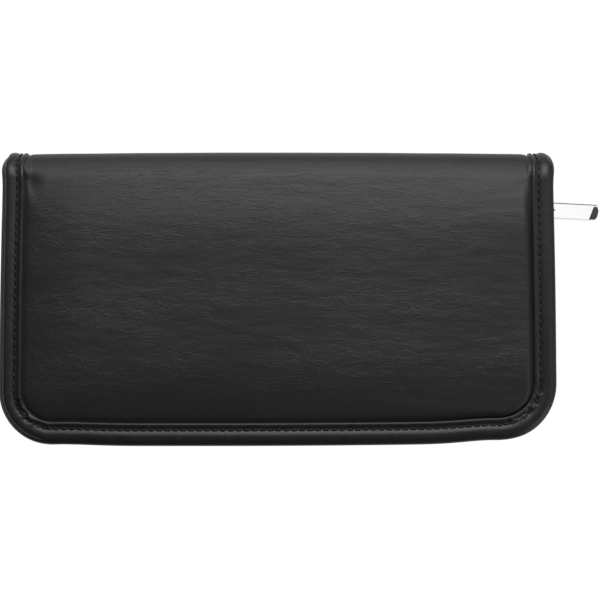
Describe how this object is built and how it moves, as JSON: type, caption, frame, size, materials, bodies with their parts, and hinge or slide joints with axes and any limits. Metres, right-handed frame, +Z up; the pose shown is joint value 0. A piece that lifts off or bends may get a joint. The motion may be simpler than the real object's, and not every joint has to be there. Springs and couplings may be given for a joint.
{
  "type": "travel wallet",
  "caption": "Black imitation-leather zip-around travel wallet, closed, with padded covers, a sewn edge binding, passport, card and ticket pockets, a pen loop and a metal zip pull.",
  "frame": {"origin": "centre of the closed wallet in plan, on the flat underside of the back cover", "axes": "+X along the long side towards the zip pull, +Y towards the spine, +Z up from the back cover to the front cover"},
  "size_m": [0.2619, 0.1264, 0.024],
  "materials": {
    "cover_leatherette": "satin black imitation leather with a fine creased grain",
    "binding_leatherette": "smooth satin black imitation leather strip, stitched",
    "pocket_leatherette": "black grained imitation leather",
    "lining_fabric": "black woven nylon lining",
    "stiffener_board": "matt grey-brown board",
    "zip_tape": "black woven polyester tape",
    "zip_teeth": "black nylon",
    "zip_metal": "bright polished nickel plate, with a dark enamelled tip on the pull tag"
  },
  "bodies": {
    "back_half": {"back_cover": "cover_leatherette", "back_board": "stiffener_board", "back_lining": "lining_fabric", "back_binding": "binding_leatherette", "back_zip_tape": "zip_tape", "back_zip_teeth": "zip_teeth", "spine_cover": "cover_leatherette", "spine_lining": "lining_fabric", "spine_binding_left": "binding_leatherette", "spine_binding_right": "binding_leatherette", "passport_pocket": "lining_fabric", "card_pocket_1": "pocket_leatherette", "card_pocket_2": "pocket_leatherette", "card_pocket_3": "pocket_leatherette", "card_pocket_4": "pocket_leatherette", "pen_loop": "pocket_leatherette", "zip_stop_right": "zip_metal", "zip_stop_left_back": "zip_metal"},
    "front_half": {"front_cover": "cover_leatherette", "front_board": "stiffener_board", "front_lining": "lining_fabric", "front_binding": "binding_leatherette", "front_zip_tape": "zip_tape", "front_zip_teeth": "zip_teeth", "ticket_pocket": "lining_fabric", "zip_stop_left_front": "zip_metal"},
    "slider": {"slider_body": "zip_metal"},
    "ring": {"pull_ring": "zip_metal"},
    "tag": {"pull_tag": "zip_metal"}
  },
  "joints": [
    {"name": "cover_opening", "type": "hinge", "parent": "back_half", "child": "front_half", "pos_m": [0, 0.061, 0.012], "axis": [-1, 0, 0], "range_deg": [0, 179], "deforming": ["spine_cover", "spine_lining", "spine_binding_left", "spine_binding_right"]},
    {"name": "slider_slide", "type": "slide", "parent": "back_half", "child": "slider", "axis": [0, -1, 0], "range_m": [0, 0.07], "deforming": ["back_zip_teeth", "front_zip_teeth"]},
    {"name": "ring_swing", "type": "hinge", "parent": "slider", "child": "ring", "pos_m": [0.1152, 0.03885, 0.012], "axis": [0, -1, 0], "range_deg": [0, 58]},
    {"name": "tag_swing", "type": "hinge", "parent": "ring", "child": "tag", "pos_m": [0.11946, 0.03885, 0.01026], "axis": [0.3794, 0, 0.9252], "range_deg": [-60, 60]}
  ]
}
